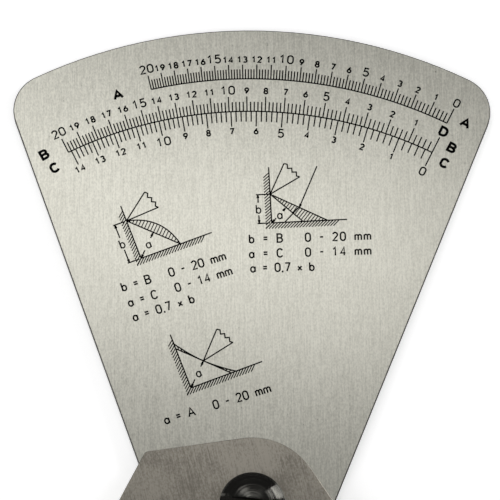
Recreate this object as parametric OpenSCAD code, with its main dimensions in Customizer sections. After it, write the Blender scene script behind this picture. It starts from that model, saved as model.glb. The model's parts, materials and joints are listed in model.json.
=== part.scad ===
// Three-scale fillet weld gauge.
// A fan-shaped scale plate with a measuring beak turns on a slotted screw under a base plate,
// which has a foot that stands on the work and a needle that reads the scales.
// The origin is on the pivot axis, on the back of the scale plate. +Y is the middle of the scales.

/* [Measuring geometry] */
// Height of the pivot above the foot
pivot_drop = 20; // [16:0.5:26]
// Distance from the pivot to the point of the beak
beak_reach = 25; // [22:0.5:32]
// Largest height that the beak measures above the foot
measure_max = 20; // [14:0.5:24]
// Direction of the needle on the base plate, from the line of the foot
needle_angle = 69.5; // [60:0.5:78]
// How far the base plate is turned from its upright place
base_turn = -117.8; // [-180:0.1:180]

/* [Scale plate] */
// Thickness of the scale plate
plate_t = 1.5; // [1:0.1:3]
// Radius of the outer arc round the pivot
outer_r = 83.5; // [80:0.1:95]
// Distance from the pivot to the straight left edge
left_reach = 15.1; // [14:0.1:18]
// Lean of the left edge from the middle line
left_lean = 19.6; // [14:0.1:24]
// Radius of the plate round the pivot, where the right edge runs out
plate_hub_r = 12.3; // [11:0.1:15]
// Lean of the right edge from the middle line
right_lean = 22.2; // [16:0.1:26]
// Radius of the two upper corners
corner_r = 6.4; // [4:0.2:12]
// Angle of the beak at its point
beak_angle = 35; // [28:1:42]
// Radius of the inside corners at the root of the beak
beak_fillet_r = 3; // [1:0.5:5]

/* [Base plate] */
// Thickness of the base plate
base_t = 2; // [1.5:0.1:3]
// Radius of the base plate round the pivot
base_hub_r = 11.7; // [10:0.1:14]
// Place of the inner end of the foot, sideways from the pivot
foot_start = 0; // [-2:0.5:4]
// Length of the foot
foot_l = 34; // [26:0.5:44]
// Height of the heel at the outer end of the foot
heel_h = 8; // [5:0.5:12]
// Radius of the heel's upper corner
heel_r = 4; // [1:0.5:6]
// Radius of the foot's two lower corners
foot_corner_r = 1; // [0.5:0.1:2]
// Radius of the inside corner between needle and heel
crotch_r = 8; // [3:0.5:12]
// Length of the needle from the pivot
needle_l = 77; // [68:0.5:82]
// Width of the needle's end
needle_end_w = 1.2; // [0.6:0.1:3]
// Width of the index line cut along the needle
index_w = 0.25; // [0.15:0.05:0.5]
// Depth of the index line
index_depth = 0.15; // [0.1:0.05:0.4]
// Length of the index line
index_l = 16; // [8:0.5:24]

/* [Pivot] */
// Diameter of the screw's head
head_d = 10.9; // [9:0.1:14]
// Height of the head's straight rim
rim_h = 1.1; // [0.6:0.1:2]
// Height of the dome above the rim
dome_h = 1.9; // [1:0.1:3]
// Width of the screwdriver slot
slot_w = 1.4; // [1:0.1:2.6]
// Depth of the slot below the top of the dome
slot_depth = 2; // [1:0.1:2.4]
// Direction of the slot
slot_turn = -8; // [-90:1:90]
// Diameter of the shoulder that the base plate turns on
shoulder_d = 6; // [4.5:0.1:7]
// Diameter of the threaded end
thread_d = 4; // [3:0.1:4.4]
// Outside diameter of the threaded bush in the scale plate
bush_d = 9; // [8:0.1:10.5]
// Diameter of the bush's flange at the back
bush_flange_d = 11; // [10.8:0.1:13]
// Thickness of the bush's flange
bush_flange_t = 0.5; // [0.3:0.1:0.8]
// Outside diameter of the friction washer between the plates
washer_d = 18; // [12:0.5:20]
// Thickness of the friction washer
washer_t = 0.3; // [0.2:0.05:0.6]
// Outside diameter of the disc spring under the head
spring_d = 10; // [9:0.1:11]
// Thickness of the disc spring's sheet
spring_t = 0.4; // [0.3:0.05:0.6]
// Height of the disc spring's cone
spring_cone_h = 0.2; // [0.1:0.05:0.4]
// Radial clearance of the base plate on the shoulder
running_gap = 0.05; // [0.02:0.01:0.1]
// Radial clearance of washers round the shoulder
washer_gap = 0.1; // [0.05:0.01:0.3]
// How far the screw's end stays below the back of the plate
end_recess = 0.2; // [0:0.05:0.5]

/* [Hidden] */
$fn = 96;

// Unit vector at an angle, and the angle of a vector
function along(a) = [cos(a), sin(a)];
function bearing(v) = atan2(v[1], v[0]);

// Where the line through p towards a meets the line through q towards b
function meet(p, a, q, b) =
    let (n = along(b + 90))
    p + along(a) * ((q - p) * n) / (along(a) * n);

// Bearing, seen from the centre, of the point where a tangent from p touches a circle of radius r.
// side is 1 for the tangent counter-clockwise of p and -1 for the one clockwise of it.
function tangent_bearing(p, r, side) = bearing(p) + side * acos(r / norm(p));

// Overlap at which an arc crosses the edge that it runs into, so that the two always meet
seam = 0.002;

// Levels of the stack, from the back of the scale plate upwards
washer_z = plate_t;
base_z = washer_z + washer_t;
spring_z = base_z + base_t;
head_z = spring_z + spring_t + spring_cone_h;
shoulder_r = shoulder_d / 2;
head_r = head_d / 2;

// The scales are centred on +Y. The beak stands level with the pivot at the largest reading.
swing = asin(pivot_drop / beak_reach) + asin((measure_max - pivot_drop) / beak_reach);
zero_bearing = 90 - swing / 2;
beak_bearing = 180 + asin(pivot_drop / beak_reach) + zero_bearing - needle_angle;
beak_point = beak_reach * along(beak_bearing);

// Flanks of the beak, seen from its point, and the edges of the fan
upper_flank = beak_bearing - 180 + beak_angle / 2;
lower_flank = beak_bearing - 180 - beak_angle / 2;
left_edge = 90 + left_lean;
right_edge = 90 - right_lean;
left_foot = left_reach * along(left_edge + 90);
right_reach = plate_hub_r - seam;
right_foot = right_reach * along(right_edge - 90);
beak_root = meet(beak_point, upper_flank, left_foot, left_edge);
lower_offset = beak_point * along(lower_flank - 90);

// Base plate, upright: foot along X, pivot at the origin
foot_inner = [foot_start, -pivot_drop];
foot_outer = [foot_start + foot_l, -pivot_drop];
heel_top = foot_outer + [0, heel_h];
needle_tip = needle_l * along(needle_angle);
needle_side = needle_end_w / 2 * along(needle_angle + 90);
tangent_r = base_hub_r - seam;
chamfer_bearing = tangent_bearing(foot_inner, tangent_r, -1);
needle_left_bearing = tangent_bearing(needle_tip + needle_side, tangent_r, 1);
needle_right_bearing = tangent_bearing(needle_tip - needle_side, tangent_r, -1);
heel_bearing = tangent_bearing(heel_top, tangent_r, 1);
crotch = meet(needle_tip - needle_side, needle_right_bearing - 90, heel_top, heel_bearing + 90);

// Slice between an arc of radius r round c and the corner that the arc rounds.
// a and b are the bearings from c to the two ends of the arc, in turning order.
module corner_slice(c, r, a, b) {
    reach = 1.4 * r;
    middle = along((a + b) / 2);
    difference() {
        polygon([c, c + reach * along(a), c + reach / cos((b - a) / 2) * middle, c + reach * along(b)]);
        translate(c + seam * middle) circle(r);
    }
}

// Slice at the corner p of two straight edges that leave it towards a and b, with b after a
module edge_slice(p, r, a, b) {
    half = (b - a) / 2;
    c = p + r / sin(half) * along((a + b) / 2);
    corner_slice(c, r, b + 90, a + 270);
}

// Upper corner of the fan. The edge stands at a distance from the pivot towards the bearing of its normal.
module fan_corner_slice(distance, normal, side) {
    rise = sqrt(pow(outer_r - corner_r, 2) - pow(distance - corner_r, 2));
    c = (distance - corner_r) * along(normal) - side * rise * along(normal + 90);
    first = side > 0 ? bearing(c) : normal;
    last = side > 0 ? normal : bearing(c);
    corner_slice(c, corner_r, first, last);
}

// Outline of the scale plate: fan, hub and beak, with its corners rounded
module plate_outline() {
    beyond = 2 * outer_r;
    back = -lower_offset - beak_fillet_r;
    run = sqrt(pow(plate_hub_r + beak_fillet_r, 2) - pow(back, 2));
    flank_c = -back * along(lower_flank - 90) - run * along(lower_flank);
    difference() {
        union() {
            intersection() {
                circle(outer_r);
                polygon([
                    beak_root, beak_point, lower_offset * along(lower_flank - 90), right_foot,
                    right_foot + beyond * along(right_edge), left_foot + beyond * along(left_edge)
                ]);
            }
            circle(plate_hub_r);
            edge_slice(beak_root, beak_fillet_r, left_edge, upper_flank + 180);
            corner_slice(flank_c, beak_fillet_r, bearing(-flank_c), lower_flank + 90);
        }
        fan_corner_slice(left_reach, left_edge + 90, 1);
        fan_corner_slice(right_reach, right_edge - 90, -1);
    }
}

// Outline of the base plate, upright: hub, foot with its heel, and tapered needle
module base_outline() {
    difference() {
        union() {
            circle(base_hub_r);
            polygon([
                tangent_r * along(needle_left_bearing), [0, 0], tangent_r * along(needle_right_bearing),
                needle_tip - needle_side, needle_tip + needle_side
            ]);
            polygon([
                foot_inner, foot_outer, heel_top, tangent_r * along(heel_bearing),
                [0, 0], tangent_r * along(chamfer_bearing)
            ]);
            edge_slice(crotch, crotch_r, heel_bearing - 90, needle_right_bearing + 90);
        }
        edge_slice(foot_inner, foot_corner_r, 0, chamfer_bearing + 270);
        edge_slice(foot_outer, foot_corner_r, 90, 180);
        edge_slice(heel_top, heel_r, heel_bearing + 90, 270);
    }
}

// Etched stainless sheet, bored for the flush bush
module scale_plate() {
    color([0.74, 0.74, 0.71])
    difference() {
        linear_extrude(plate_t) plate_outline();
        translate([0, 0, -plate_t]) cylinder(d = bush_d, h = 3 * plate_t);
        translate([0, 0, -plate_t]) cylinder(d = bush_flange_d, h = plate_t + bush_flange_t);
    }
}

// Darker stainless sheet with the foot and the needle
module base_plate() {
    color([0.48, 0.46, 0.43])
    rotate(base_turn)
    translate([0, 0, base_z])
    difference() {
        linear_extrude(base_t) base_outline();
        translate([0, 0, -base_t]) cylinder(r = shoulder_r + running_gap, h = 3 * base_t);
        rotate(needle_angle)
        translate([needle_l - index_l, -index_w / 2, base_t - index_depth])
            cube([2 * index_l, index_w, 2 * index_depth]);
    }
}

// Slotted shoulder screw with a domed head
module pivot_screw() {
    dome_r = (head_r * head_r + dome_h * dome_h) / (2 * dome_h);
    head_h = rim_h + dome_h;
    color([0.1, 0.1, 0.1])
    difference() {
        union() {
            intersection() {
                translate([0, 0, head_z]) cylinder(r = head_r, h = head_h);
                translate([0, 0, head_z + head_h - dome_r]) sphere(dome_r);
            }
            translate([0, 0, plate_t]) cylinder(r = shoulder_r, h = head_z + rim_h / 2 - plate_t);
            translate([0, 0, end_recess]) cylinder(d = thread_d, h = head_z - end_recess);
        }
        rotate(slot_turn)
        translate([-head_d, -slot_w / 2, head_z + head_h - slot_depth])
            cube([2 * head_d, slot_w, 2 * slot_depth]);
    }
}

// Threaded bush, pressed into the scale plate from the back and flush with it
module pivot_bush() {
    color([0.62, 0.6, 0.55])
    difference() {
        union() {
            cylinder(d = bush_d, h = plate_t);
            cylinder(d = bush_flange_d, h = bush_flange_t);
        }
        translate([0, 0, -plate_t]) cylinder(d = thread_d, h = 3 * plate_t);
    }
}

// Thin flat washer that the base plate slides on
module friction_washer() {
    color([0.72, 0.56, 0.32])
    translate([0, 0, washer_z])
    difference() {
        cylinder(d = washer_d, h = washer_t);
        translate([0, 0, -washer_t]) cylinder(r = shoulder_r + washer_gap, h = 3 * washer_t);
    }
}

// Coned washer under the head, which keeps the base plate from swinging by itself
module disc_spring() {
    inner_r = shoulder_r + washer_gap;
    color([0.3, 0.3, 0.3])
    translate([0, 0, spring_z])
    rotate_extrude()
        polygon([
            [inner_r, spring_cone_h], [spring_d / 2, 0],
            [spring_d / 2, spring_t], [inner_r, spring_cone_h + spring_t]
        ]);
}

scale_plate();
base_plate();
pivot_screw();
pivot_bush();
friction_washer();
disc_spring();
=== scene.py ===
"""Three-scale fillet weld gauge: finishes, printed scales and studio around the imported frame.

All sizes are written in millimetres and turned into metres by MM. Bearings are in degrees,
counter-clockwise from +X, about the pivot, which is the frame's origin.
"""
from __future__ import annotations

import json
import logging
import math
from dataclasses import dataclass
from enum import Enum

import bmesh
import bpy
from bpy.types import ID, Material, Mesh, Node, NodeSocket, NodeTree, Object, World
from mathutils import Matrix, Vector

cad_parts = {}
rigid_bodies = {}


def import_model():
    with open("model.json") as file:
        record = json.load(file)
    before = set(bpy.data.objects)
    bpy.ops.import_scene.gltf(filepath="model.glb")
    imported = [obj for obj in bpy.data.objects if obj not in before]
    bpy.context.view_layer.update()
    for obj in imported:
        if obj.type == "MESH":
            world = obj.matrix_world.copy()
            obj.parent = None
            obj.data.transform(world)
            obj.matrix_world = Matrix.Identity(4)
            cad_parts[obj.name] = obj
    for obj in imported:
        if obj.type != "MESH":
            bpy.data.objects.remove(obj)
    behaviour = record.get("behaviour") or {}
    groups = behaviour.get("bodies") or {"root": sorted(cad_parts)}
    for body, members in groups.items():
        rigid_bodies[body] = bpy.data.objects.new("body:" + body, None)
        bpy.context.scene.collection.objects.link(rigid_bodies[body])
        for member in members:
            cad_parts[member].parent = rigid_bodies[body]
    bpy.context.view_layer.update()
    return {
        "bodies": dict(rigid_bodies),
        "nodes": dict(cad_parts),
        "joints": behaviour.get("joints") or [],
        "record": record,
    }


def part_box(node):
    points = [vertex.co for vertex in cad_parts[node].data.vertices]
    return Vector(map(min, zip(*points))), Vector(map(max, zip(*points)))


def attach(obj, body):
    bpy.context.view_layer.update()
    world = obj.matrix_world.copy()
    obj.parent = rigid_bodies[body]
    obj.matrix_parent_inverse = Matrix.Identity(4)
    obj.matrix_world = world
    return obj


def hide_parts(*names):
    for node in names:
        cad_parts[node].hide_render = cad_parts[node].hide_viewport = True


LOG = logging.getLogger("weld_gauge")
MM = 0.001

Point = tuple[float, float]
Place = tuple[float, float, float]
Stroke = list[Point]
Colour = tuple[float, float, float, float]

WHITE: Colour = (1.0, 1.0, 1.0, 1.0)


def grey(level: float, warmth: float = 0.0, rose: float = 0.01) -> Colour:
    """Linear colour of a display grey from 0 to 1, made warmer by taking some blue away.

    Args:
        level: Display brightness, from 0 to 1.
        warmth: Share of the blue that is taken away.
        rose: Share of the green that is taken away.

    Returns:
        The linear red, green and blue, and full cover.
    """
    def linear(value: float) -> float:
        """Linear light of one display value."""
        return value / 12.92 if value <= 0.04045 else ((value + 0.055) / 1.055) ** 2.4

    return linear(level), linear(level * (1 - rose)), linear(level * (1 - warmth)), 1.0


def polar(radius: float, bearing: float) -> Point:
    """Point at a radius and a bearing from the pivot."""
    angle = math.radians(bearing)
    return radius * math.cos(angle), radius * math.sin(angle)


def even_steps(first: float, last: float, count: int) -> list[float]:
    """Values in even steps from the first to the last, with both."""
    return [first + (last - first) * i / count for i in range(count + 1)]


def add_object(name: str, data: ID) -> Object:
    """Adds an object to the scene, at the origin.

    Args:
        name: Name of the object.
        data: Its mesh, camera or lamp.

    Returns:
        The new object.
    """
    made = bpy.data.objects.new(name, data)
    bpy.context.scene.collection.objects.link(made)
    return made


class Nodes:
    """Short-hand for adding and joining nodes of one tree."""

    def __init__(self, tree: NodeTree) -> None:
        """Takes the tree that the nodes go into."""
        self.tree = tree

    @classmethod
    def of(cls, owner: Material | World) -> Nodes:
        """Empty node tree of a material or world.

        Args:
            owner: The material or world.

        Returns:
            Its nodes, with the usual first ones taken out.
        """
        owner.use_nodes = True
        owner.node_tree.nodes.clear()
        return cls(owner.node_tree)

    def add(self, kind: str, inputs: dict | None = None, **settings: object) -> Node:
        """Adds a node, sets its properties, and sets or joins its inputs.

        Args:
            kind: Blender's name of the node type.
            inputs: Input name or number to a value or to another node's output socket.
            **settings: Properties of the node.

        Returns:
            The new node.
        """
        node = self.tree.nodes.new(kind)
        for name, value in settings.items():
            setattr(node, name, value)
        for name, value in (inputs or {}).items():
            if isinstance(value, NodeSocket):
                self.tree.links.new(value, node.inputs[name])
            else:
                node.inputs[name].default_value = value
        return node

    def math(self, operation: str, *values: object) -> NodeSocket:
        """Output of a Math node on one to three values or sockets."""
        return self.add("ShaderNodeMath", dict(enumerate(values)), operation=operation).outputs[0]

    def place(self) -> NodeSocket:
        """Place on the object, in metres."""
        return self.add("ShaderNodeTexCoord").outputs["Object"]

    def vector(self, x: object = 0.0, y: object = 0.0, z: object = 0.0) -> NodeSocket:
        """Vector of three values or sockets."""
        return self.add("ShaderNodeCombineXYZ", {0: x, 1: y, 2: z}).outputs[0]

    def noise(self, place: object, scale: object, detail: float, roughness: float) -> NodeSocket:
        """Strength of a noise pattern, from 0 to 1."""
        inputs = {"Vector": place, "Scale": scale, "Detail": detail, "Roughness": roughness}
        return self.add("ShaderNodeTexNoise", inputs).outputs["Fac"]

    def blend(self, share: object, low: object, high: object) -> NodeSocket:
        """Colour between two others, at a share that is held between 0 and 1."""
        inputs = {0: share, 6: low, 7: high}
        return self.add("ShaderNodeMix", inputs, data_type="RGBA", clamp_factor=True).outputs[2]

    def spread(self, value: object, middle: float, span: float) -> NodeSocket:
        """A value from 0 to 1, spread over a span round a middle."""
        return self.math("MULTIPLY_ADD", value, span, middle - span / 2)

    def swing(self, value: object, strength: object) -> NodeSocket:
        """A value from 0 to 1, as a swing to either side of zero."""
        return self.math("MULTIPLY", self.math("SUBTRACT", value, 0.5), strength)


def new_tree(name: str, kind: str, inputs: dict[str, str], outputs: dict[str, str]) -> NodeTree:
    """Empty node group with named sockets.

    Args:
        name: Name of the group.
        kind: Blender's name of the tree type.
        inputs: Each input's name and type, the type without its prefix.
        outputs: The same for the outputs.

    Returns:
        The new group.
    """
    tree = bpy.data.node_groups.new(name, kind)
    for side, sockets in (("INPUT", inputs), ("OUTPUT", outputs)):
        for label, socket in sockets.items():
            tree.interface.new_socket(label, in_out=side, socket_type=f"NodeSocket{socket}")
    return tree


def metal_group(name: str, sizes: tuple[str, ...]) -> NodeTree:
    """Empty shader group of a metal surface.

    Args:
        name: Name of the group.
        sizes: Names of its inputs other than Vector, Light and Dark.

    Returns:
        The group, with outputs Color, Height and Gloss.
    """
    inputs = {"Vector": "Vector", "Light": "Color", "Dark": "Color"}
    inputs.update({size: "Float" for size in sizes})
    outputs = {"Color": "Color", "Height": "Float", "Gloss": "Float"}
    return new_tree(name, "ShaderNodeTree", inputs, outputs)


def brushed_grain_group() -> NodeTree:
    """Shader group for rolled and brushed sheet: streaks along its Y, and slow clouds.

    Returns:
        The group, with the strengths of both as inputs.
    """
    # Waves for each metre across the grain, along it and through the sheet, and each layer's share
    layers = (
        ((3800.0, 2400.0, 200.0), 0.46),
        ((4200.0, 400.0, 200.0), 0.32),
        ((5200.0, 80.0, 200.0), 0.22),
    )
    cloud_waves = 110.0
    group = metal_group("brushed_grain", ("Streak", "Cloud"))
    nodes = Nodes(group)
    given = nodes.add("NodeGroupInput").outputs
    streak: NodeSocket | float = 0.0
    for waves, share in layers:
        placed = nodes.add("ShaderNodeMapping", {"Vector": given["Vector"], "Scale": waves})
        layer = nodes.noise(placed.outputs[0], 1.0, detail=2.0, roughness=0.62)
        streak = nodes.math("MULTIPLY_ADD", layer, share, streak)
    cloud = nodes.noise(given["Vector"], cloud_waves, detail=4.0, roughness=0.55)
    swings = nodes.math("ADD", nodes.swing(streak, given["Streak"]), nodes.swing(cloud, given["Cloud"]))
    colour = nodes.blend(nodes.math("ADD", swings, 0.5), given["Dark"], given["Light"])
    nodes.add("NodeGroupOutput", {"Color": colour, "Height": streak, "Gloss": streak})
    return group


def turned_rings_group() -> NodeTree:
    """Shader group for turned metal: rings round the pivot axis, and smears over them.

    Returns:
        The group, with the number of rings in a metre as an input.
    """
    smear_waves = 420.0
    ring_share = 0.6
    wall_stretch = 0.5
    group = metal_group("turned_rings", ("Rings",))
    nodes = Nodes(group)
    given = nodes.add("NodeGroupInput").outputs
    apart = nodes.add("ShaderNodeSeparateXYZ", {0: given["Vector"]}).outputs
    squares = [nodes.math("POWER", apart[axis], 2.0) for axis in (0, 1)]
    radius = nodes.math("SQRT", nodes.math("ADD", *squares))
    rise = nodes.math("MULTIPLY", apart[2], wall_stretch)
    rings = nodes.noise(nodes.vector(radius, rise), given["Rings"], detail=3.0, roughness=0.6)
    smear = nodes.noise(given["Vector"], smear_waves, detail=4.0, roughness=0.6)
    smeared = nodes.math("MULTIPLY", smear, 1.0 - ring_share)
    shade = nodes.math("MULTIPLY_ADD", rings, ring_share, smeared)
    colour = nodes.blend(shade, given["Dark"], given["Light"])
    nodes.add("NodeGroupOutput", {"Color": colour, "Height": rings, "Gloss": smear})
    return group


@dataclass(frozen=True, kw_only=True)
class MetalFinish:
    """Metal whose colour, relief and gloss come from a shared group."""

    name: str
    light: Colour
    dark: Colour
    roughness: float
    roughness_span: float
    relief: float = 0.0
    relief_depth: float = 0.02

    def pattern(self, nodes: Nodes) -> dict[str, object]:
        """Inputs of the group other than its colours."""
        raise NotImplementedError

    def material(self, group: NodeTree) -> Material:
        """Makes the material.

        Args:
            group: The shared group of the metal's surface.

        Returns:
            The new material.
        """
        made = bpy.data.materials.new(self.name)
        nodes = Nodes.of(made)
        inputs = {"Light": self.light, "Dark": self.dark, **self.pattern(nodes)}
        surface = nodes.add("ShaderNodeGroup", inputs, node_tree=group).outputs
        depth = self.relief_depth * MM
        bump = nodes.add(
            "ShaderNodeBump", {"Strength": self.relief, "Distance": depth, "Height": surface["Height"]}
        )
        shader = nodes.add(
            "ShaderNodeBsdfPrincipled",
            {
                "Base Color": surface["Color"],
                "Metallic": 1.0,
                "Roughness": nodes.spread(surface["Gloss"], self.roughness, self.roughness_span),
                "Normal": bump.outputs[0],
            },
        )
        nodes.add("ShaderNodeOutputMaterial", {"Surface": shader.outputs[0]})
        return made


@dataclass(frozen=True, kw_only=True)
class SheetFinish(MetalFinish):
    """Brushed stainless sheet, its grain turned from Y by an angle in degrees."""

    streak: float
    cloud: float
    grain_turn: float = 0.0
    roughness_span: float = 0.16

    def pattern(self, nodes: Nodes) -> dict[str, object]:
        """Inputs of the brushed grain, other than its colours.

        Args:
            nodes: The material's nodes.

        Returns:
            Input name to value or socket.
        """
        turn = (0.0, 0.0, math.radians(self.grain_turn))
        turned = nodes.add("ShaderNodeMapping", {"Vector": nodes.place(), "Rotation": turn})
        return {"Vector": turned.outputs[0], "Streak": self.streak, "Cloud": self.cloud}


@dataclass(frozen=True, kw_only=True)
class TurnedFinish(MetalFinish):
    """Turned metal with fine rings round the pivot axis."""

    rings_per_mm: float
    roughness_span: float = 0.2

    def pattern(self, nodes: Nodes) -> dict[str, object]:
        """Inputs of the turned rings, other than their colours."""
        return {"Vector": nodes.place(), "Rings": self.rings_per_mm / MM}


@dataclass(frozen=True)
class InkFinish:
    """Black filling of etched marks, slightly uneven."""

    name: str
    colour: Colour
    worn: Colour
    roughness: float
    roughness_span: float = 0.3
    patch_waves: float = 1400.0
    wear_start: float = 0.45
    wear_gain: float = 1.6
    gloss: float = 0.06

    def material(self) -> Material:
        """Makes the material.

        Returns:
            The new material.
        """
        made = bpy.data.materials.new(self.name)
        nodes = Nodes.of(made)
        patch = nodes.noise(nodes.place(), self.patch_waves, detail=3.0, roughness=0.6)
        wear = nodes.math("MULTIPLY", nodes.math("SUBTRACT", patch, self.wear_start), self.wear_gain)
        shader = nodes.add(
            "ShaderNodeBsdfPrincipled",
            {
                "Base Color": nodes.blend(wear, self.colour, self.worn),
                "Roughness": nodes.spread(patch, self.roughness, self.roughness_span),
                "Specular IOR Level": self.gloss,
            },
        )
        nodes.add("ShaderNodeOutputMaterial", {"Surface": shader.outputs[0]})
        return made


@dataclass(frozen=True)
class Finishes:
    """All materials of the gauge."""

    scale_face: Material
    scale_edge: Material
    base_face: Material
    base_edge: Material
    screw: Material
    bush: Material
    washer: Material
    spring: Material
    ink: Material

    @classmethod
    def make(cls) -> Finishes:
        """Builds every material once.

        Returns:
            The set of finishes.
        """
        sheets = {
            "scale_face": SheetFinish(
                name="scale_face_steel", light=grey(0.88, 0.06, 0.008), dark=grey(0.77, 0.065, 0.008),
                streak=5.0, cloud=0.3, roughness=0.3,
            ),
            "scale_edge": SheetFinish(
                name="scale_edge_steel", light=grey(0.34, 0.05), dark=grey(0.22, 0.05),
                streak=1.0, cloud=0.4, roughness=0.45, grain_turn=90.0, relief=0.1,
            ),
            "base_face": SheetFinish(
                name="base_face_steel", light=grey(0.715, 0.097, 0.033), dark=grey(0.57, 0.11, 0.037),
                streak=4.9, cloud=2.9, roughness=0.34, grain_turn=-13.0,
            ),
            # Base plate's edge: its light colour is a painted highlight along the rounded edge, mixed in
            # patches with a darker colour that makes a broken dark line
            "base_edge": SheetFinish(
                name="base_edge_steel_painted_highlight", light=grey(0.84, 0.09, 0.03), dark=grey(0.3, 0.09, 0.03),
                streak=1.4, cloud=2.6, roughness=0.34, grain_turn=90.0, relief=0.05,
            ),
        }
        turned = {
            "screw": TurnedFinish(
                name="screw_black", light=grey(0.35, 0.06), dark=grey(0.08, 0.06),
                roughness=0.12, rings_per_mm=3.4, relief=1.0, relief_depth=0.06,
            ),
            "bush": TurnedFinish(
                name="bush_steel", light=grey(0.72, 0.06), dark=grey(0.55, 0.06),
                roughness=0.35, rings_per_mm=4.0, relief=0.4,
            ),
            "washer": TurnedFinish(
                name="washer_bronze", light=(0.55, 0.36, 0.16, 1.0), dark=(0.4, 0.25, 0.1, 1.0),
                roughness=0.4, rings_per_mm=2.0, relief=0.3,
            ),
            "spring": TurnedFinish(
                name="spring_steel", light=grey(0.36, 0.04), dark=grey(0.24, 0.04),
                roughness=0.4, rings_per_mm=3.0, relief=0.3,
            ),
        }
        grain = brushed_grain_group()
        rings = turned_rings_group()
        return cls(
            **{name: finish.material(grain) for name, finish in sheets.items()},
            **{name: finish.material(rings) for name, finish in turned.items()},
            ink=InkFinish("etched_black", grey(0.0), grey(0.06), roughness=0.6).material(),
        )


def edge_broken_copy(source: Object, name: str, width: float, segments: int) -> Object:
    """New piece with a CAD node's own form, its sharp edges rounded by a small radius.

    Args:
        source: The CAD node's object, which is left as it is.
        name: Name of the new piece.
        width: Width of the rounding, in millimetres.
        segments: Faces across the rounding.

    Returns:
        The new object, at the origin.
    """
    same_point = 0.0005 * MM
    same_plane = math.radians(0.05)
    sharp_angle = math.radians(32)
    smooth_angle = math.radians(38)
    form = bmesh.new()
    form.from_mesh(source.data)
    bmesh.ops.remove_doubles(form, verts=form.verts, dist=same_point)
    bmesh.ops.dissolve_limit(form, angle_limit=same_plane, verts=form.verts, edges=form.edges)
    sharp = [e for e in form.edges if len(e.link_faces) == 2 and e.calc_face_angle(0.0) > sharp_angle]
    bmesh.ops.bevel(
        form, geom=sharp, affect="EDGES", offset=width * MM, offset_type="OFFSET",
        segments=segments, profile=0.5, clamp_overlap=True,
    )
    bmesh.ops.recalc_face_normals(form, faces=form.faces)
    mesh = bpy.data.meshes.new(name)
    form.to_mesh(mesh)
    form.free()
    mesh.shade_smooth()
    mesh.set_sharp_from_angle(angle=smooth_angle)
    return add_object(name, mesh)


def dress_sheet(piece: Object, face: Material, edge: Material) -> None:
    """Gives a sheet its two finishes, and shades its faces flat.

    Args:
        piece: The sheet.
        face: Finish of the top and the back.
        edge: Finish of the walls and the rounded edges.
    """
    level_normal = 0.999
    piece.data.materials.append(face)
    piece.data.materials.append(edge)
    for polygon in piece.data.polygons:
        flat = abs(polygon.normal.z) > level_normal
        polygon.material_index = 0 if flat else 1
        polygon.use_smooth = not flat


class Press:
    """Prints strokes as thin closed strips that stand a hair above a face."""

    proud = 0.012
    sunk = 0.03
    # Two directions whose sum is shorter than this turn back too sharply for a mitre
    shortest_sum = 0.2
    mitre_floor = 0.4
    mitre_limit = 1.6

    def __init__(self, name: str, level: float) -> None:
        """Starts an empty print.

        Args:
            name: Name of the piece.
            level: Height of the face that is printed on, in metres.
        """
        self.name = name
        self.level = level
        self.form = bmesh.new()

    def strip(self, points: Stroke, width: float) -> None:
        """Adds one strip along a line of points.

        Args:
            points: Points on the face, in millimetres.
            width: Width of the strip, in millimetres.
        """
        corners = ((1, self.proud), (-1, self.proud), (-1, -self.sunk), (1, -self.sunk))
        rings = []
        for i, point in enumerate(points):
            before = points[max(i - 1, 0)]
            after = points[min(i + 1, len(points) - 1)]
            first = Vector((point[0] - before[0], point[1] - before[1]))
            second = Vector((after[0] - point[0], after[1] - point[1]))
            first = first.normalized() if first.length else second.normalized()
            second = second.normalized() if second.length else first
            both = first + second
            way = both.normalized() if both.length > self.shortest_sum else second
            mitre = min(1.0 / max(abs(way.dot(second)), self.mitre_floor), self.mitre_limit)
            side = Vector((-way.y, way.x)) * (mitre * width / 2)
            ring = []
            for sign, height in corners:
                x = (point[0] + sign * side.x) * MM
                y = (point[1] + sign * side.y) * MM
                ring.append(self.form.verts.new((x, y, self.level + height * MM)))
            rings.append(ring)
        for here, there in zip(rings, rings[1:]):
            for k in range(4):
                self.form.faces.new((here[k], here[(k + 1) % 4], there[(k + 1) % 4], there[k]))
        self.form.faces.new(rings[0][::-1])
        self.form.faces.new(rings[-1])

    def finish(self, material: Material) -> Object:
        """Turns the print into a piece.

        Args:
            material: The ink.

        Returns:
            The new object.
        """
        bmesh.ops.recalc_face_normals(self.form, faces=self.form.faces)
        mesh = bpy.data.meshes.new(self.name)
        self.form.to_mesh(mesh)
        self.form.free()
        mesh.materials.append(material)
        return add_object(self.name, mesh)


ARC_STEP = 20
FEWEST_STEPS = 4


def arc(x: float, y: float, rx: float, ry: float, start: float, end: float) -> Stroke:
    """Points along part of an ellipse round (x, y), from one angle to another."""
    turns = even_steps(start, end, max(FEWEST_STEPS, int(abs(end - start) / ARC_STEP)))
    return [(x + rx * c, y + ry * s) for c, s in (polar(1.0, turn) for turn in turns)]


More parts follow.
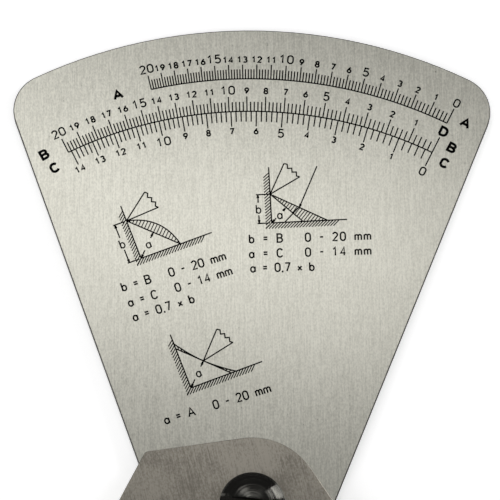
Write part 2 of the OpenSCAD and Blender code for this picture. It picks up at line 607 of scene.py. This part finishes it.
class StrokeFont:
    """Plain engraver's alphabet of one line width, six units high.

    The shape of a character is its width and its strokes, in units.
    """

    height = 6.0
    bowl = arc(1.5, 1.9, 1.5, 1.9, 0, 360)
    zero = arc(1.7, 4.3, 1.7, 1.7, 0, 180) + arc(1.7, 1.7, 1.7, 1.7, 180, 360)
    upper_b = arc(1.9, 4.55, 1.45, 1.45, 90, -90)
    lower_b = arc(2.0, 1.55, 1.6, 1.55, 90, -90)
    round_d = arc(1.5, 3.9, 2.2, 2.1, 90, 0) + arc(1.5, 2.1, 2.2, 2.1, 0, -90)
    first_m = arc(1.1, 2.8, 1.1, 1.1, 180, 0) + [(2.2, 0.0)]
    second_m = arc(3.3, 2.8, 1.1, 1.1, 180, 0) + [(4.4, 0.0)]
    shapes: dict[str, tuple[float, list[Stroke]]] = {
        "0": (3.4, [zero + [(3.4, 4.3)]]),
        "1": (3.2, [[(0.2, 4.5), (1.6, 6.0), (1.6, 0.0)]]),
        "2": (3.2, [arc(1.6, 4.4, 1.6, 1.6, 165, -35) + [(0.0, 0.0), (3.2, 0.0)]]),
        "3": (3.2, [arc(1.5, 4.6, 1.4, 1.4, 150, -90), arc(1.5, 1.6, 1.6, 1.6, 90, -150)]),
        "4": (3.4, [[(2.5, 0.0), (2.5, 6.0), (0.0, 1.7), (3.4, 1.7)]]),
        "5": (3.2, [[(3.0, 6.0), (0.4, 6.0), (0.2, 3.3)] + arc(1.45, 1.9, 1.75, 1.9, 125, -150)]),
        "6": (3.2, [[(2.5, 6.0), (0.3, 2.7)], arc(1.6, 1.7, 1.6, 1.7, 0, 360)]),
        "7": (3.2, [[(0.0, 6.0), (3.2, 6.0), (1.1, 0.0)]]),
        "8": (3.2, [arc(1.6, 4.55, 1.35, 1.45, 0, 360), arc(1.6, 1.55, 1.6, 1.55, 0, 360)]),
        "9": (3.2, [arc(1.6, 4.3, 1.6, 1.7, 0, 360), [(2.9, 3.3), (0.7, 0.0)]]),
        "A": (4.6, [[(0.0, 0.0), (2.3, 6.0), (4.6, 0.0)], [(0.8, 2.0), (3.8, 2.0)]]),
        "B": (3.6, [[(0.0, 3.1), (1.9, 3.1)] + lower_b + [(0.0, 0.0), (0.0, 6.0)] + upper_b]),
        "C": (3.6, [arc(1.9, 4.0, 1.9, 2.0, 25, 180) + arc(1.9, 2.0, 1.9, 2.0, 180, 335)]),
        "D": (3.7, [[(0.0, 0.0), (0.0, 6.0)] + round_d + [(0.0, 0.0)]]),
        "a": (3.0, [bowl, [(3.0, 3.9), (3.0, 0.0)]]),
        "b": (3.0, [bowl, [(0.0, 6.0), (0.0, 0.0)]]),
        "m": (4.4, [[(0.0, 3.9), (0.0, 0.0)], first_m, second_m]),
        "x": (2.6, [[(0.0, 0.4), (2.6, 3.4)], [(0.0, 3.4), (2.6, 0.4)]]),
        "=": (2.8, [[(0.0, 2.2), (2.8, 2.2)], [(0.0, 3.8), (2.8, 3.8)]]),
        "-": (2.2, [[(0.0, 3.0), (2.2, 3.0)]]),
        ",": (0.6, [[(0.4, 0.5), (0.0, -0.9)]]),
        " ": (2.6, []),
    }

    @classmethod
    def width(cls, text: str, gap: float) -> float:
        """Width of a line of text, in units."""
        return sum(cls.shapes[letter][0] for letter in text) + gap * (len(text) - 1)


@dataclass(frozen=True)
class Lettering:
    """One kind of lettering.

    Height and weight are in millimetres. The gap between characters is in the font's units, and
    slim is the share of a character's usual width.
    """

    height: float
    weight: float
    gap: float = 1.5
    slim: float = 1.0

    def write(self, press: Press, text: str, at: Point, turn: float, centred: bool = True) -> None:
        """Prints a line of text.

        Args:
            press: The print that it goes into.
            text: The characters.
            at: Middle of the text, or the left end of its base line, in millimetres.
            turn: Direction of the line, in degrees.
            centred: Whether at is the middle.
        """
        unit = self.height / StrokeFont.height
        pen = -StrokeFont.width(text, self.gap) / 2 if centred else 0.0
        drop = -StrokeFont.height / 2 if centred else 0.0
        c, s = polar(1.0, turn)
        for letter in text:
            advance, strokes = StrokeFont.shapes[letter]
            for stroke in strokes:
                placed = []
                for x, y in stroke:
                    u = (pen + x) * unit * self.slim
                    v = (y + drop) * unit
                    placed.append((at[0] + u * c - v * s, at[1] + u * s + v * c))
                press.strip(placed, self.weight)
            pen += advance + self.gap


@dataclass(frozen=True)
class LeverLaw:
    """How the height of the beak above the foot turns the scale plate."""

    pivot_drop: float = 20.0
    beak_reach: float = 25.0
    measure_max: float = 20.0

    def turn(self, height: float) -> float:
        """Turn in degrees from zero to a height of the beak in millimetres."""
        start = math.asin(self.pivot_drop / self.beak_reach)
        return math.degrees(start + math.asin((height - self.pivot_drop) / self.beak_reach))

    @property
    def zero_bearing(self) -> float:
        """Bearing of the zero line, with the scales centred on +Y."""
        return 90.0 - self.turn(self.measure_max) / 2


@dataclass(frozen=True)
class Scale:
    """One of the scales: what it reads, and where its line and figures stand.

    Outward is 1 where ticks and figures stand outside the line, and -1 where they stand inside it.
    The first tick is longer by zero_extra, and its figure moves by a share of that, zero_shift.
    """

    letter: str
    height_per_unit: float
    last: int
    line_radius: float
    outward: int
    first_figure: int = 0

    short_tick: float = 1.7
    long_tick: float = 2.6
    zero_extra: float = 0.0
    zero_shift: float = 0.8
    figure_gap: float = 3.5
    large_gap: float = 3.71

    step: float = 0.2
    long_every: int = 5
    tick_width: float = 0.22
    line_width: float = 0.22
    line_steps: int = 80
    figure: Lettering = Lettering(0.96, 0.28, 1.95, 1.15)
    large_figure: Lettering = Lettering(1.37, 0.265, 1.7, 1.15)

    @property
    def ticks(self) -> int:
        """Number of ticks, with both ends."""
        return round(self.last / self.step) + 1

    def bearing(self, law: LeverLaw, value: float) -> float:
        """Bearing of a reading on the plate."""
        return law.zero_bearing + law.turn(value * self.height_per_unit)

    def base_line(self, law: LeverLaw) -> Stroke:
        """Points along the arc that the ticks stand on."""
        turns = even_steps(self.bearing(law, 0.0), self.bearing(law, self.last), self.line_steps)
        return [polar(self.line_radius, turn) for turn in turns]

    def print_figures(self, press: Press, law: LeverLaw) -> None:
        """Prints the figures, every fifth one larger.

        Args:
            press: The print that they go into.
            law: The lever law of the gauge.
        """
        for value in range(self.first_figure, self.last + 1):
            large = value % self.long_every == 0
            gap = self.large_gap if large else self.figure_gap
            if value == 0:
                gap += self.zero_extra * self.zero_shift
            bearing = self.bearing(law, value)
            place = polar(self.line_radius + self.outward * gap, bearing)
            lettering = self.large_figure if large else self.figure
            lettering.write(press, str(value), place, bearing - 90.0)


class WeldKind(Enum):
    """Forms of weld that the sketches on the plate show."""

    CONVEX = "convex"
    UNEQUAL = "unequal"
    CONCAVE = "concave"


@dataclass(frozen=True)
class WeldSketch:
    """Small line drawing of a weld in a corner, with the beak set on it.

    The corner is the drawing's own origin, with the floor along its x and the wall along its y.
    Names that end in weight, other than weight itself, are shares of it. The throat's shares are
    of half the wall leg for its end, and of that end for the rest.
    """

    kind: WeldKind
    corner: Point
    turn: float
    wall_leg: float
    floor_leg: float
    beak_bearing: float

    weight: float = 0.22
    floor_l: float = 12.75
    wall_h: float = 9.8
    hatch_depth: float = 1.0
    hatch_step: float = 0.52
    hatch_stop: float = 0.3
    hatch_weight: float = 0.82
    floor_slant: float = 1.05
    wall_slant: float = 0.85

    weld_steps: int = 18
    weld_hatch_weight: float = 0.75
    bulge: float = 1.6
    hollow: float = 1.26
    equal_leg: float = 1.05
    slant_bearing: float = 50.0
    slant_step: float = 0.62
    slant_start: float = 0.6

    beak_l: float = 5.9
    beak_angle: float = 35.0
    break_steps: int = 7
    break_sway: float = 0.25

    arrow_l: float = 0.62
    arrow_spread: float = 12.0
    arrow_weight: float = 1.1
    lettering: Lettering = Lettering(1.45, 0.231)
    letter_drop: float = 0.05
    throat_start: float = 0.08
    throat_end: float = 0.98
    throat_low: float = 0.32
    throat_letter: float = 0.58
    throat_high: float = 0.8
    leg_gap: float = 2.1
    leg_overrun: float = 0.3
    leg_letter_room: float = 1.1
    long_arrow_start: Point = (8.2, 9.6)
    long_arrow_gap: float = 0.1

    def place(self, points: Stroke) -> Stroke:
        """Points of the drawing as points on the plate."""
        c, s = polar(1.0, self.turn)
        return [(self.corner[0] + x * c - y * s, self.corner[1] + x * s + y * c) for x, y in points]

    def line(self, press: Press, points: Stroke, weight: float = 1.0) -> None:
        """Prints a line of the drawing, at a share of the usual weight."""
        press.strip(self.place(points), self.weight * weight)

    def draw(self, press: Press) -> None:
        """Prints the whole drawing."""
        for part in (self.draw_corner, self.draw_weld, self.draw_beak, self.draw_dimensions):
            part(press)

    def draw_corner(self, press: Press) -> None:
        """Prints the wall and the floor, with hatching behind them.

        Args:
            press: The print that they go into.
        """
        self.line(press, [(0.0, self.wall_h), (0.0, 0.0), (self.floor_l, 0.0)])
        depth = self.hatch_depth
        for i in range(int((self.floor_l - self.hatch_stop) / self.hatch_step)):
            x = i * self.hatch_step
            self.line(press, [(x, 0.0), (x - depth * self.floor_slant, -depth)], self.hatch_weight)
        for i in range(int((self.wall_h - self.hatch_stop) / self.hatch_step)):
            y = i * self.hatch_step
            self.line(press, [(0.0, y), (-depth, y - depth * self.wall_slant)], self.hatch_weight)

    def weld_face(self, share: float) -> tuple[Point, Point]:
        """Points on the weld's measured and true faces.

        Args:
            share: Share of the way from the wall to the floor.

        Returns:
            The point on the measured face and the point on the true one.
        """
        x = self.floor_leg * share
        y = self.wall_leg * (1 - share)
        rise = 4 * share * (1 - share)
        if self.kind is WeldKind.CONVEX:
            out = self.bulge * rise / math.sqrt(2)
            return (x, y), (x + out, y + out)
        if self.kind is WeldKind.UNEQUAL:
            return (self.wall_leg * self.equal_leg * share, y), (x, y)
        out = self.hollow * (1 - rise) / math.sqrt(2)
        return (x, y), (x + (out if share > 0.5 else 0.0), y + (out if share < 0.5 else 0.0))

    def draw_weld(self, press: Press) -> None:
        """Prints the two faces of the weld and the hatching between them.

        Args:
            press: The print that they go into.
        """
        inner, outer = zip(*[self.weld_face(share) for share in even_steps(0.0, 1.0, self.weld_steps)])
        self.line(press, list(inner))
        self.line(press, list(outer))
        if self.kind is WeldKind.UNEQUAL:
            self.hatch_unequal(press)
            return
        for ends in list(zip(inner, outer))[1:-1]:
            self.line(press, list(ends), self.weld_hatch_weight)

    def hatch_unequal(self, press: Press) -> None:
        """Prints the slanted hatching of an unequal weld, and the line to its true face's middle.

        Args:
            press: The print that they go into.
        """
        c, s = polar(1.0, self.slant_bearing)
        wall = self.wall_leg
        legs = (wall * self.equal_leg, self.floor_leg)
        for i in range(int((self.floor_leg + wall) / self.slant_step)):
            x = self.floor_leg - (i + self.slant_start) * self.slant_step
            low, high = [wall * (1 - x / leg) / (s + wall * c / leg) for leg in legs]
            low = max(low, 0.0)
            self.line(press, [(x + low * c, low * s), (x + high * c, high * s)], self.weld_hatch_weight)
        middle = (self.floor_leg / 2, wall / 2)
        self.line(press, [(middle[0] - middle[1], 0.0), middle])

    def beak_point(self) -> Point:
        """Where the point of the beak touches the weld."""
        middle = (self.floor_leg / 2, self.wall_leg / 2)
        return middle if self.kind is WeldKind.CONCAVE else (0.0, self.wall_leg)

    def draw_beak(self, press: Press) -> None:
        """Prints the beak with its broken-off end.

        Args:
            press: The print that it goes into.
        """
        tip = Vector(self.beak_point())
        ends = []
        for side in (1, -1):
            end = tip + Vector(polar(self.beak_l, self.beak_bearing + side * self.beak_angle / 2))
            self.line(press, [tuple(tip), tuple(end)])
            ends.append(end)
        wave = []
        for i in range(self.break_steps + 1):
            sway = self.break_sway * (1 if i % 2 else -1) if 0 < i < self.break_steps else 0.0
            point = ends[0].lerp(ends[1], i / self.break_steps)
            wave.append(tuple(point + Vector(polar(sway, self.beak_bearing))))
        self.line(press, wave)

    def arrow(self, press: Press, start: Point, end: Point) -> None:
        """Prints a line with an arrowhead.

        Args:
            press: The print that it goes into.
            start: Plain end of the line.
            end: Point of the arrow.
        """
        self.line(press, [start, end])
        back = math.degrees(math.atan2(start[1] - end[1], start[0] - end[0]))
        for spread in (self.arrow_spread, -self.arrow_spread):
            flank = polar(self.arrow_l, back + spread)
            self.line(press, [end, (end[0] + flank[0], end[1] + flank[1])], self.arrow_weight)

    def letter(self, press: Press, text: str, at: Point) -> None:
        """Prints a dimension's letter."""
        self.lettering.write(press, text, self.place([at])[0], self.turn)

    def draw_dimensions(self, press: Press) -> None:
        """Prints the throat a, and the wall leg b where the beak measures it.

        Args:
            press: The print that they go into.
        """
        half = self.wall_leg / 2
        end = half * self.throat_end
        low, middle, high = end * self.throat_low, end * self.throat_letter, end * self.throat_high
        self.arrow(press, (low, low), (self.throat_start, self.throat_start))
        self.arrow(press, (high, high), (end, end))
        self.letter(press, "a", (middle, middle - self.letter_drop))
        if self.kind is WeldKind.CONCAVE:
            return
        left = -self.leg_gap
        for y in (0.0, self.wall_leg):
            self.line(press, [(left - self.leg_overrun, y), (-self.hatch_depth * self.leg_overrun, y)])
        self.arrow(press, (left, half - self.leg_letter_room), (left, 0.0))
        self.arrow(press, (left, half + self.leg_letter_room), (left, self.wall_leg))
        self.letter(press, "b", (left, half))
        if self.kind is WeldKind.UNEQUAL:
            self.arrow(press, self.long_arrow_start, (self.floor_leg / 2 + self.long_arrow_gap, half))


@dataclass(frozen=True)
class Legend:
    """One printed line beside a sketch: which scale to read, and its span."""

    text: str
    start: Point
    turn: float
    lettering: Lettering = Lettering(1.42, 0.27, 1.6)


WIDE_LEGEND = Lettering(1.42, 0.27, 2.2)


@dataclass
class ScalePlate:
    """Fan-shaped plate with its scales, letters, sketches and legends."""

    finishes: Finishes
    law: LeverLaw = LeverLaw()
    edge_round: float = 0.16
    edge_steps: int = 2
    bold: Lettering = Lettering(1.4, 0.45, slim=1.32)
    body: str = "scale"
    slot: str = "scale_steel"

    scales: tuple[Scale, ...] = (
        Scale(
            "A", 1 / math.sqrt(2), 20, 74.8, 1,
            long_tick=2.55, zero_extra=0.3, figure_gap=3.44,
        ),
        Scale(
            "B", 1.0, 20, 69.0, 1, first_figure=1,
            long_tick=2.65, zero_extra=0.35, figure_gap=3.66, large_gap=3.81,
        ),
        Scale(
            "C", math.sqrt(2), 14, 69.0, -1,
            short_tick=1.83, long_tick=2.67,
        ),
    )
    # Bold letters at the ends of the scales: radius and bearing of each
    letters: tuple[tuple[str, float, float], ...] = (
        ("A", 75.4, 107.4),
        ("B", 70.6, 119.7),
        ("C", 67.7, 119.4),
        ("A", 76.3, 61.3),
        ("B", 71.3, 61.3),
        ("C", 68.3, 61.2),
        ("D", 73.2, 63.3),
    )
    sketches: tuple[WeldSketch, ...] = (
        WeldSketch(WeldKind.CONVEX, (-18.5, 43.1), 20.8, 7.0, 7.1, 20.6),
        WeldSketch(WeldKind.UNEQUAL, (3.55, 49.3), 2.8, 5.05, 9.45, 45.9),
        WeldSketch(WeldKind.CONCAVE, (-10.1, 20.7), 20.8, 7.2, 7.2, 29.4),
    )
    legends: tuple[Legend, ...] = (
        Legend("b = B   0 - 20 mm", (-21.5, 37.4), 17.6),
        Legend("a = C   0 - 14 mm", (-20.4, 34.7), 18.0),
        Legend("a = 0,7 x b", (-19.6, 32.2), 18.0),
        Legend("b = B   0 - 20 mm", (-0.2, 45.8), 1.6, WIDE_LEGEND),
        Legend("a = C   0 - 14 mm", (-0.2, 43.2), 1.6, WIDE_LEGEND),
        Legend("a = 0,7 x b", (0.0, 40.7), 1.6),
        Legend("a = A   0 - 20 mm", (-14.3, 14.5), 17.4),
    )

    def __post_init__(self) -> None:
        """Reads the height of the printed face from the frame."""
        self.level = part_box("scale_plate")[1][2]

    def build(self, frame: dict) -> list[Object]:
        """Builds the plate and everything printed on it.

        Args:
            frame: The loaded frame.

        Returns:
            The pieces, riding on the plate's body.
        """
        source = frame["nodes"]["scale_plate"]
        sheet = edge_broken_copy(source, "scale_plate_sheet", self.edge_round, self.edge_steps)
        dress_sheet(sheet, self.finishes.scale_face, self.finishes.scale_edge)
        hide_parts("scale_plate")
        pieces = [sheet]
        for name, fill in (
            ("graduation", self.print_graduation),
            ("scale_figures", self.print_figures),
            ("scale_letters", self.print_letters),
            ("weld_sketches", self.print_sketches),
            ("legends", self.print_legends),
        ):
            press = Press(name, self.level)
            fill(press)
            pieces.append(press.finish(self.finishes.ink))
        for piece in pieces:
            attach(piece, self.body)
        return pieces

    def graduation_tree(self) -> NodeTree:
        """Geometry tree that sets ticks along one scale by the lever law.

        Returns:
            The tree, with the scale's sizes as named inputs.
        """
        inputs = {"Geometry": "Geometry", "Count": "Int", "Every": "Int", "Ink": "Material"}
        for name in (
            "Rise", "Drop", "Reach", "Zero", "Radius", "Outward",
            "Short", "Long", "Extra", "Width", "Level", "Thickness",
        ):
            inputs[name] = "Float"
        tree = new_tree("graduation", "GeometryNodeTree", inputs, {"Geometry": "Geometry"})
        nodes = Nodes(tree)
        given = nodes.add("NodeGroupInput").outputs
        index = nodes.add("GeometryNodeInputIndex").outputs[0]
        height = nodes.math("MULTIPLY", index, given["Rise"])
        above = nodes.math("SUBTRACT", height, given["Drop"])
        lean = nodes.math("ARCSINE", nodes.math("DIVIDE", above, given["Reach"]))
        start = nodes.math("ARCSINE", nodes.math("DIVIDE", given["Drop"], given["Reach"]))
        bearing = nodes.math("ADD", nodes.math("ADD", lean, start), given["Zero"])
        is_long = nodes.math("COMPARE", nodes.math("MODULO", index, given["Every"]), 0.0, 0.5)
        is_first = nodes.math("COMPARE", index, 0.0, 0.5)
        shortest = nodes.math("MULTIPLY_ADD", is_first, given["Extra"], given["Short"])
        step_up = nodes.math("SUBTRACT", given["Long"], given["Short"])
        length = nodes.math("MULTIPLY_ADD", is_long, step_up, shortest)
        half = nodes.math("MULTIPLY", nodes.math("MULTIPLY", length, 0.5), given["Outward"])
        radius = nodes.math("ADD", given["Radius"], half)
        x, y = [nodes.math("MULTIPLY", radius, nodes.math(way, bearing)) for way in ("COSINE", "SINE")]
        spot = nodes.vector(x, y, given["Level"])
        points = nodes.add("GeometryNodePoints", {"Count": given["Count"], "Position": spot})
        tick = nodes.add("GeometryNodeMeshCube", {"Size": (1.0, 1.0, 1.0)})
        ticks = nodes.add(
            "GeometryNodeInstanceOnPoints",
            {
                "Points": points.outputs[0],
                "Instance": tick.outputs[0],
                "Rotation": nodes.vector(z=bearing),
                "Scale": nodes.vector(length, given["Width"], given["Thickness"]),
            },
        )
        real = nodes.add("GeometryNodeRealizeInstances", {"Geometry": ticks.outputs[0]})
        inked = nodes.add("GeometryNodeSetMaterial", {"Geometry": real.outputs[0], "Material": given["Ink"]})
        nodes.add("NodeGroupOutput", {"Geometry": inked.outputs[0]})
        return tree

    def scale_ticks(self, scale: Scale, tree: NodeTree) -> Mesh:
        """Runs the graduation tree for one scale.

        Args:
            scale: The scale.
            tree: The graduation tree.

        Returns:
            The ticks as a plain mesh.
        """
        holder = add_object("ticks", bpy.data.meshes.new("ticks"))
        modifier = holder.modifiers.new("graduation", "NODES")
        modifier.node_group = tree
        values = {
            "Count": scale.ticks,
            "Every": scale.long_every,
            "Rise": scale.step * scale.height_per_unit * MM,
            "Drop": self.law.pivot_drop * MM,
            "Reach": self.law.beak_reach * MM,
            "Zero": math.radians(self.law.zero_bearing),
            "Radius": scale.line_radius * MM,
            "Outward": float(scale.outward),
            "Short": scale.short_tick * MM,
            "Long": scale.long_tick * MM,
            "Extra": scale.zero_extra * MM,
            "Width": scale.tick_width * MM,
            "Level": self.level + (Press.proud - Press.sunk) / 2 * MM,
            "Thickness": (Press.proud + Press.sunk) * MM,
            "Ink": self.finishes.ink,
        }
        for item in tree.interface.items_tree:
            if item.in_out == "INPUT" and item.name in values:
                modifier[item.identifier] = values[item.name]
        made = bpy.data.meshes.new_from_object(holder.evaluated_get(bpy.context.evaluated_depsgraph_get()))
        bpy.data.objects.remove(holder)
        return made

    def print_graduation(self, press: Press) -> None:
        """Prints the ticks and base lines of all scales.

        Args:
            press: The print that they go into.
        """
        tree = self.graduation_tree()
        for scale in self.scales:
            ticks = self.scale_ticks(scale, tree)
            press.form.from_mesh(ticks)
            bpy.data.meshes.remove(ticks)
            press.strip(scale.base_line(self.law), scale.line_width)
            LOG.info("scale %s: %d ticks", scale.letter, scale.ticks)

    def print_figures(self, press: Press) -> None:
        """Prints the figures of all scales."""
        for scale in self.scales:
            scale.print_figures(press, self.law)

    def print_letters(self, press: Press) -> None:
        """Prints the bold letters at the ends of the scales."""
        for letter, radius, bearing in self.letters:
            self.bold.write(press, letter, polar(radius, bearing), bearing - 90.0)

    def print_sketches(self, press: Press) -> None:
        """Prints the small drawings of welds."""
        for sketch in self.sketches:
            sketch.draw(press)

    def print_legends(self, press: Press) -> None:
        """Prints the lines beside the drawings."""
        for legend in self.legends:
            legend.lettering.write(press, legend.text, legend.start, legend.turn, centred=False)


@dataclass
class BasePlate:
    """Plate with the foot and the needle."""

    finishes: Finishes
    needle_angle: float = 69.5
    turn: float = -117.8
    needle_l: float = 77.0
    index_l: float = 16.0
    index_w: float = 0.22
    index_depth: float = 0.15
    edge_round: float = 0.28
    edge_steps: int = 4
    body: str = "base"
    slot: str = "base_steel"

    def build(self, frame: dict) -> list[Object]:
        """Builds the plate and the blacked index line.

        Args:
            frame: The loaded frame.

        Returns:
            The pieces, riding on the base.
        """
        source = frame["nodes"]["base_plate"]
        sheet = edge_broken_copy(source, "base_plate_sheet", self.edge_round, self.edge_steps)
        dress_sheet(sheet, self.finishes.base_face, self.finishes.base_edge)
        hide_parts("base_plate")
        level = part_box("base_plate")[1][2] - self.index_depth * MM
        press = Press("index_line", level)
        bearing = self.needle_angle + self.turn
        ends = [polar(radius, bearing) for radius in (self.needle_l - self.index_l, self.needle_l)]
        press.strip(ends, self.index_w)
        pieces = [sheet, press.finish(self.finishes.ink)]
        for piece in pieces:
            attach(piece, self.body)
        return pieces


@dataclass
class Pivot:
    """Screw, bush and washers."""

    finishes: Finishes
    edge_round: float = 0.03
    edge_steps: int = 3
    body: str = "scale"

    def build(self, frame: dict) -> list[Object]:
        """Builds the screw and dresses the bush and the washers.

        Args:
            frame: The loaded frame.

        Returns:
            The new pieces.
        """
        source = frame["nodes"]["pivot_screw"]
        screw = edge_broken_copy(source, "pivot_screw_turned", self.edge_round, self.edge_steps)
        screw.data.materials.append(self.finishes.screw)
        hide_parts("pivot_screw")
        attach(screw, self.body)
        for node, material in (
            ("pivot_bush", self.finishes.bush),
            ("friction_washer", self.finishes.washer),
            ("disc_spring", self.finishes.spring),
        ):
            for place in frame["nodes"][node].material_slots:
                place.material = material
        return [screw]


@dataclass(frozen=True)
class Softbox:
    """Lamp panel that faces a point. A glow of 1 is a white face."""

    name: str
    place: Place
    target: Place
    size: Point
    glow: float

    def build(self) -> None:
        """Adds the lamp to the scene."""
        data = bpy.data.lights.new(self.name, "AREA")
        data.shape = "RECTANGLE"
        data.size = self.size[0] * MM
        data.size_y = self.size[1] * MM
        data.energy = self.glow * math.pi * data.size * data.size_y
        lamp = add_object(self.name, data)
        lamp.location = Vector(self.place) * MM
        facing = (Vector(self.target) - Vector(self.place)).to_track_quat("-Z", "Y")
        lamp.rotation_euler = facing.to_euler()


@dataclass
class Studio:
    """Camera, light and table top."""

    picture_width: float = 84.32
    aim: Point = (0.0, 44.4)
    shift: Point = (-0.14, 0.15)
    tilt: float = 15.07
    lean: float = -0.87
    distance: float = 700.0
    sensor: float = 36.0

    # Strength of the world: level, and what is added from above and from the pivot's side
    world_level: float = 0.12
    world_above: float = 0.09
    world_front: float = 0.55

    # Table top: its white, and its own glow at the gauge and added up to a metre away
    table_size: float = 6000.0
    table_drop: float = 0.05
    table_white: Colour = (0.9, 0.9, 0.9, 1.0)
    glow_near: float = 0.475
    glow_far: float = 0.28

    def build(self) -> None:
        """Builds the whole studio."""
        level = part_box("scale_plate")[1][2]
        self.build_camera(level)
        self.build_world()
        self.build_table()
        for lamp in self.softboxes(level / MM):
            lamp.build()

    def softboxes(self, level: float) -> list[Softbox]:
        """Lamps of the studio.

        Args:
            level: Height of the printed face, in millimetres.

        Returns:
            The lamps, not yet built.
        """
        face = (*self.aim, level)
        screw = (0.0, 0.0, 5.0)
        return [
            Softbox("top_softbox", (-12.0, 92.0, 168.0), (-16.0, 44.4, level), (134.0, 52.0), 1.17),
            Softbox("left_softbox", (-420.0, -150.0, 250.0), face, (260.0, 260.0), 3.6),
            Softbox("right_strip", (234.0, 174.0, 127.0), screw, (130.0, 60.0), 10.5),
            Softbox("back_window", (-200.0, 540.0, 810.0), screw, (230.0, 210.0), 4.0),
            Softbox("low_panel", (-500.0, 150.0, 70.0), (0.0, 60.0, 0.0), (300.0, 120.0), 3.0),
        ]

    def build_camera(self, level: float) -> None:
        """Sets the camera above the gauge, back from it on the pivot's side.

        Args:
            level: Height of the printed face, in metres.
        """
        data = bpy.data.cameras.new("camera")
        data.sensor_width = self.sensor
        data.lens = self.sensor * self.distance / self.picture_width
        data.clip_start = 0.01
        data.clip_end = 50.0
        camera = add_object("camera", data)
        tilted = Matrix.Rotation(math.radians(self.tilt), 3, "X")
        facing = tilted @ Matrix.Rotation(math.radians(self.lean), 3, "Y")
        camera.rotation_euler = facing.to_euler()
        aim = Vector((self.aim[0] * MM, self.aim[1] * MM, level))
        camera.location = aim + facing @ Vector((*self.shift, self.distance)) * MM
        bpy.context.scene.camera = camera

    def build_world(self) -> None:
        """Soft light, stronger from the pivot's side. The white behind the gauge is the table top."""
        world = bpy.data.worlds.new("studio")
        bpy.context.scene.world = world
        nodes = Nodes.of(world)
        way = nodes.add("ShaderNodeTexCoord").outputs["Generated"]
        apart = nodes.add("ShaderNodeSeparateXYZ", {0: way}).outputs
        above = nodes.math("MAXIMUM", apart[2], 0.0)
        front = nodes.math("MAXIMUM", nodes.math("MULTIPLY", apart[1], -1.0), 0.0)
        soft = nodes.math("MULTIPLY_ADD", above, self.world_above, self.world_level)
        strength = nodes.math("MULTIPLY_ADD", front, self.world_front, soft)
        glow = nodes.add("ShaderNodeBackground", {"Color": WHITE, "Strength": strength})
        nodes.add("ShaderNodeOutputWorld", {"Surface": glow.outputs[0]})

    def build_table(self) -> None:
        """White table top that keeps the gauge's shadow, and shows in its metal."""
        below = (0.0, 0.0, -self.table_drop * MM)
        bpy.ops.mesh.primitive_plane_add(size=self.table_size * MM, location=below)
        table = bpy.context.object
        table.name = "table_top"
        made = bpy.data.materials.new("table_white")
        nodes = Nodes.of(made)
        lit = nodes.add("ShaderNodeBsdfDiffuse", {"Color": self.table_white})
        away = nodes.add("ShaderNodeVectorMath", {0: nodes.place()}, operation="LENGTH").outputs["Value"]
        level = nodes.math("MULTIPLY_ADD", nodes.math("MINIMUM", away, 1.0), self.glow_far, self.glow_near)
        ray = nodes.add("ShaderNodeLightPath").outputs
        mirrored = nodes.math("MAXIMUM", ray["Is Glossy Ray"], ray["Is Transmission Ray"])
        seen = nodes.math("MAXIMUM", ray["Is Camera Ray"], mirrored)
        strength = nodes.math("MULTIPLY", seen, level)
        glow = nodes.add("ShaderNodeEmission", {"Color": WHITE, "Strength": strength})
        both = nodes.add("ShaderNodeAddShader", {0: lit.outputs[0], 1: glow.outputs[0]})
        nodes.add("ShaderNodeOutputMaterial", {"Surface": both.outputs[0]})
        table.data.materials.append(made)


def main() -> None:
    """Builds the gauge around the frame, piece by piece."""
    logging.basicConfig(level=logging.INFO, format="%(name)s: %(message)s")
    for name in ("Cube", "Light", "Camera"):
        if name in bpy.data.objects:
            bpy.data.objects.remove(bpy.data.objects[name])
    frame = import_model()
    bpy.context.scene.view_settings.view_transform = "Standard"
    finishes = Finishes.make()
    for assembly in (ScalePlate(finishes), BasePlate(finishes), Pivot(finishes)):
        for piece in assembly.build(frame):
            LOG.info("%s: %d faces", piece.name, len(piece.data.polygons))
    Studio().build()


if __name__ == "__main__":
    main()
